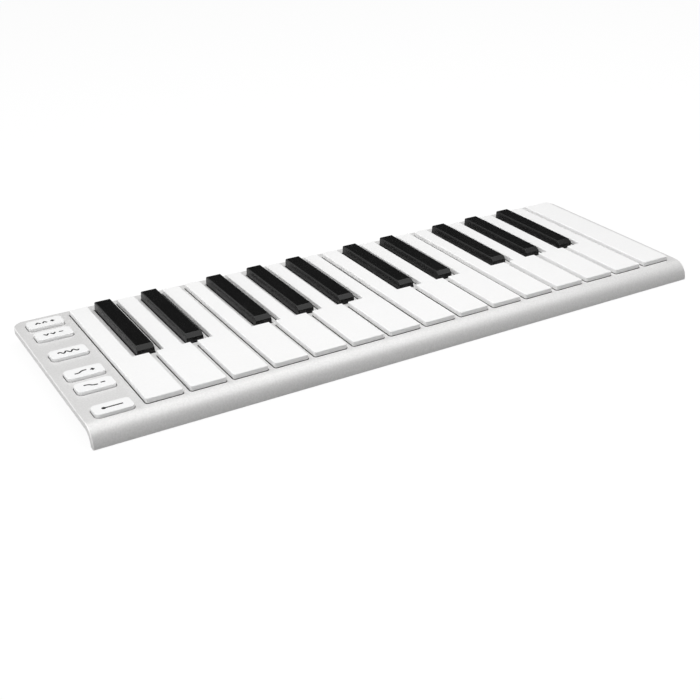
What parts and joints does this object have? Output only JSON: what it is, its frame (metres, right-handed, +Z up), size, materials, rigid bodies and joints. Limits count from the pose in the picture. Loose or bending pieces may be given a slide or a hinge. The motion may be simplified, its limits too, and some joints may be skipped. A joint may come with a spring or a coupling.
{
  "type": "midi keyboard",
  "caption": "Slim desktop keyboard controller: full-size piano keys and oblong buttons rising through windows in one bent aluminium plate over a flat under-body with a USB socket.",
  "frame": {"origin": "centre of the outline on the desk, under the feet", "axes": "+X to the right along the keys, towards the high notes; +Y to the rear; +Z up"},
  "size_m": [0.3888, 0.1334, 0.016],
  "materials": {
    "anodised_aluminium": "bead-blasted and clear anodised, fine matt grain",
    "white_key": "white moulded plastic, satin",
    "black_key": "black moulded plastic, satin",
    "white_button": "white moulded plastic, matt",
    "tray_plastic": "dark grey moulded plastic, fine texture",
    "black_plastic": "black plastic",
    "steel": "plain steel",
    "plated_steel": "tin-plated steel",
    "felt": "pressed felt",
    "circuit_board": "green solder mask",
    "pad_rubber": "conductive rubber",
    "dome_silicone": "grey silicone",
    "cable_grey": "flat grey cable",
    "foot_rubber": "black rubber, matt"
  },
  "bodies": {
    "case": {"top_shell": "anodised_aluminium", "bottom_tray": "tray_plastic", "key_rail": "black_plastic", "pivot_rod": "steel", "return_springs": "steel", "up_stop_felt": "felt", "down_stop_felt": "felt", "sensor_board": "circuit_board", "sensor_pads": "pad_rubber", "button_board": "circuit_board", "button_domes": "dome_silicone", "controller_chips": "black_plastic", "ribbon_cable": "cable_grey", "usb_socket": "plated_steel", "usb_tongue": "black_plastic", "rubber_feet": "foot_rubber", "case_screws": "steel", "board_screws": "steel", "rail_rivets": "steel"},
    "key_c1": {"key_c1": "white_key"},
    "key_d1": {"key_d1": "white_key"},
    "key_e1": {"key_e1": "white_key"},
    "key_f1": {"key_f1": "white_key"},
    "key_g1": {"key_g1": "white_key"},
    "key_a1": {"key_a1": "white_key"},
    "key_b1": {"key_b1": "white_key"},
    "key_c2": {"key_c2": "white_key"},
    "key_d2": {"key_d2": "white_key"},
    "key_e2": {"key_e2": "white_key"},
    "key_f2": {"key_f2": "white_key"},
    "key_g2": {"key_g2": "white_key"},
    "key_a2": {"key_a2": "white_key"},
    "key_b2": {"key_b2": "white_key"},
    "key_c3": {"key_c3": "white_key"},
    "key_c_sharp1": {"key_c_sharp1": "black_key"},
    "key_d_sharp1": {"key_d_sharp1": "black_key"},
    "key_f_sharp1": {"key_f_sharp1": "black_key"},
    "key_g_sharp1": {"key_g_sharp1": "black_key"},
    "key_a_sharp1": {"key_a_sharp1": "black_key"},
    "key_c_sharp2": {"key_c_sharp2": "black_key"},
    "key_d_sharp2": {"key_d_sharp2": "black_key"},
    "key_f_sharp2": {"key_f_sharp2": "black_key"},
    "key_g_sharp2": {"key_g_sharp2": "black_key"},
    "key_a_sharp2": {"key_a_sharp2": "black_key"},
    "sustain_button": {"sustain_button": "white_button"},
    "pitch_down_button": {"pitch_down_button": "white_button"},
    "pitch_up_button": {"pitch_up_button": "white_button"},
    "modulation_button": {"modulation_button": "white_button"},
    "octave_down_button": {"octave_down_button": "white_button"},
    "octave_up_button": {"octave_up_button": "white_button"}
  },
  "joints": [
    {"name": "key_c1_press", "type": "hinge", "parent": "case", "child": "key_c1", "pos_m": [-0.15722, 0.05705, 0.00505], "axis": [1, 0, 0], "range_deg": [0, 1.21], "stiffness_Nm_per_rad": 0.5, "springref_deg": -5.73, "deforming": ["return_springs"]},
    {"name": "key_d1_press", "type": "hinge", "parent": "case", "child": "key_d1", "pos_m": [-0.12905, 0.05705, 0.00505], "axis": [1, 0, 0], "range_deg": [0, 1.21], "stiffness_Nm_per_rad": 0.5, "springref_deg": -5.73, "deforming": ["return_springs"]},
    {"name": "key_e1_press", "type": "hinge", "parent": "case", "child": "key_e1", "pos_m": [-0.10088, 0.05705, 0.00505], "axis": [1, 0, 0], "range_deg": [0, 1.21], "stiffness_Nm_per_rad": 0.5, "springref_deg": -5.73, "deforming": ["return_springs"]},
    {"name": "key_f1_press", "type": "hinge", "parent": "case", "child": "key_f1", "pos_m": [-0.08699, 0.05705, 0.00505], "axis": [1, 0, 0], "range_deg": [0, 1.21], "stiffness_Nm_per_rad": 0.5, "springref_deg": -5.73, "deforming": ["return_springs"]},
    {"name": "key_g1_press", "type": "hinge", "parent": "case", "child": "key_g1", "pos_m": [-0.05996, 0.05705, 0.00505], "axis": [1, 0, 0], "range_deg": [0, 1.21], "stiffness_Nm_per_rad": 0.5, "springref_deg": -5.73, "deforming": ["return_springs"]},
    {"name": "key_a1_press", "type": "hinge", "parent": "case", "child": "key_a1", "pos_m": [-0.03294, 0.05705, 0.00505], "axis": [1, 0, 0], "range_deg": [0, 1.21], "stiffness_Nm_per_rad": 0.5, "springref_deg": -5.73, "deforming": ["return_springs"]},
    {"name": "key_b1_press", "type": "hinge", "parent": "case", "child": "key_b1", "pos_m": [-0.00591, 0.05705, 0.00505], "axis": [1, 0, 0], "range_deg": [0, 1.21], "stiffness_Nm_per_rad": 0.5, "springref_deg": -5.73, "deforming": ["return_springs"]},
    {"name": "key_c2_press", "type": "hinge", "parent": "case", "child": "key_c2", "pos_m": [0.00798, 0.05705, 0.00505], "axis": [1, 0, 0], "range_deg": [0, 1.21], "stiffness_Nm_per_rad": 0.5, "springref_deg": -5.73, "deforming": ["return_springs"]},
    {"name": "key_d2_press", "type": "hinge", "parent": "case", "child": "key_d2", "pos_m": [0.03615, 0.05705, 0.00505], "axis": [1, 0, 0], "range_deg": [0, 1.21], "stiffness_Nm_per_rad": 0.5, "springref_deg": -5.73, "deforming": ["return_springs"]},
    {"name": "key_e2_press", "type": "hinge", "parent": "case", "child": "key_e2", "pos_m": [0.06432, 0.05705, 0.00505], "axis": [1, 0, 0], "range_deg": [0, 1.21], "stiffness_Nm_per_rad": 0.5, "springref_deg": -5.73, "deforming": ["return_springs"]},
    {"name": "key_f2_press", "type": "hinge", "parent": "case", "child": "key_f2", "pos_m": [0.07821, 0.05705, 0.00505], "axis": [1, 0, 0], "range_deg": [0, 1.21], "stiffness_Nm_per_rad": 0.5, "springref_deg": -5.73, "deforming": ["return_springs"]},
    {"name": "key_g2_press", "type": "hinge", "parent": "case", "child": "key_g2", "pos_m": [0.10524, 0.05705, 0.00505], "axis": [1, 0, 0], "range_deg": [0, 1.21], "stiffness_Nm_per_rad": 0.5, "springref_deg": -5.73, "deforming": ["return_springs"]},
    {"name": "key_a2_press", "type": "hinge", "parent": "case", "child": "key_a2", "pos_m": [0.13226, 0.05705, 0.00505], "axis": [1, 0, 0], "range_deg": [0, 1.21], "stiffness_Nm_per_rad": 0.5, "springref_deg": -5.73, "deforming": ["return_springs"]},
    {"name": "key_b2_press", "type": "hinge", "parent": "case", "child": "key_b2", "pos_m": [0.15929, 0.05705, 0.00505], "axis": [1, 0, 0], "range_deg": [0, 1.21], "stiffness_Nm_per_rad": 0.5, "springref_deg": -5.73, "deforming": ["return_springs"]},
    {"name": "key_c3_press", "type": "hinge", "parent": "case", "child": "key_c3", "pos_m": [0.17775, 0.05705, 0.00505], "axis": [1, 0, 0], "range_deg": [0, 1.21], "stiffness_Nm_per_rad": 0.5, "springref_deg": -5.73, "deforming": ["return_springs"]},
    {"name": "key_c_sharp1_press", "type": "hinge", "parent": "case", "child": "key_c_sharp1", "pos_m": [-0.14313, 0.05705, 0.00505], "axis": [1, 0, 0], "range_deg": [0, 1.96], "stiffness_Nm_per_rad": 0.4, "springref_deg": -5.73, "deforming": ["return_springs"]},
    {"name": "key_d_sharp1_press", "type": "hinge", "parent": "case", "child": "key_d_sharp1", "pos_m": [-0.11497, 0.05705, 0.00505], "axis": [1, 0, 0], "range_deg": [0, 1.96], "stiffness_Nm_per_rad": 0.4, "springref_deg": -5.73, "deforming": ["return_springs"]},
    {"name": "key_f_sharp1_press", "type": "hinge", "parent": "case", "child": "key_f_sharp1", "pos_m": [-0.07347, 0.05705, 0.00505], "axis": [1, 0, 0], "range_deg": [0, 1.96], "stiffness_Nm_per_rad": 0.4, "springref_deg": -5.73, "deforming": ["return_springs"]},
    {"name": "key_g_sharp1_press", "type": "hinge", "parent": "case", "child": "key_g_sharp1", "pos_m": [-0.04645, 0.05705, 0.00505], "axis": [1, 0, 0], "range_deg": [0, 1.96], "stiffness_Nm_per_rad": 0.4, "springref_deg": -5.73, "deforming": ["return_springs"]},
    {"name": "key_a_sharp1_press", "type": "hinge", "parent": "case", "child": "key_a_sharp1", "pos_m": [-0.01943, 0.05705, 0.00505], "axis": [1, 0, 0], "range_deg": [0, 1.96], "stiffness_Nm_per_rad": 0.4, "springref_deg": -5.73, "deforming": ["return_springs"]},
    {"name": "key_c_sharp2_press", "type": "hinge", "parent": "case", "child": "key_c_sharp2", "pos_m": [0.02207, 0.05705, 0.00505], "axis": [1, 0, 0], "range_deg": [0, 1.96], "stiffness_Nm_per_rad": 0.4, "springref_deg": -5.73, "deforming": ["return_springs"]},
    {"name": "key_d_sharp2_press", "type": "hinge", "parent": "case", "child": "key_d_sharp2", "pos_m": [0.05023, 0.05705, 0.00505], "axis": [1, 0, 0], "range_deg": [0, 1.96], "stiffness_Nm_per_rad": 0.4, "springref_deg": -5.73, "deforming": ["return_springs"]},
    {"name": "key_f_sharp2_press", "type": "hinge", "parent": "case", "child": "key_f_sharp2", "pos_m": [0.09173, 0.05705, 0.00505], "axis": [1, 0, 0], "range_deg": [0, 1.96], "stiffness_Nm_per_rad": 0.4, "springref_deg": -5.73, "deforming": ["return_springs"]},
    {"name": "key_g_sharp2_press", "type": "hinge", "parent": "case", "child": "key_g_sharp2", "pos_m": [0.11875, 0.05705, 0.00505], "axis": [1, 0, 0], "range_deg": [0, 1.96], "stiffness_Nm_per_rad": 0.4, "springref_deg": -5.73, "deforming": ["return_springs"]},
    {"name": "key_a_sharp2_press", "type": "hinge", "parent": "case", "child": "key_a_sharp2", "pos_m": [0.14577, 0.05705, 0.00505], "axis": [1, 0, 0], "range_deg": [0, 1.96], "stiffness_Nm_per_rad": 0.4, "springref_deg": -5.73, "deforming": ["return_springs"]},
    {"name": "sustain_button_press", "type": "slide", "parent": "case", "child": "sustain_button", "axis": [0, 0, -1], "range_m": [0, 0.0006], "stiffness_N_per_m": 800, "springref_m": -0.001, "deforming": ["button_domes"]},
    {"name": "pitch_down_button_press", "type": "slide", "parent": "case", "child": "pitch_down_button", "axis": [0, 0, -1], "range_m": [0, 0.0006], "stiffness_N_per_m": 800, "springref_m": -0.001, "deforming": ["button_domes"]},
    {"name": "pitch_up_button_press", "type": "slide", "parent": "case", "child": "pitch_up_button", "axis": [0, 0, -1], "range_m": [0, 0.0006], "stiffness_N_per_m": 800, "springref_m": -0.001, "deforming": ["button_domes"]},
    {"name": "modulation_button_press", "type": "slide", "parent": "case", "child": "modulation_button", "axis": [0, 0, -1], "range_m": [0, 0.0006], "stiffness_N_per_m": 800, "springref_m": -0.001, "deforming": ["button_domes"]},
    {"name": "octave_down_button_press", "type": "slide", "parent": "case", "child": "octave_down_button", "axis": [0, 0, -1], "range_m": [0, 0.0006], "stiffness_N_per_m": 800, "springref_m": -0.001, "deforming": ["button_domes"]},
    {"name": "octave_up_button_press", "type": "slide", "parent": "case", "child": "octave_up_button", "axis": [0, 0, -1], "range_m": [0, 0.0006], "stiffness_N_per_m": 800, "springref_m": -0.001, "deforming": ["button_domes"]}
  ]
}
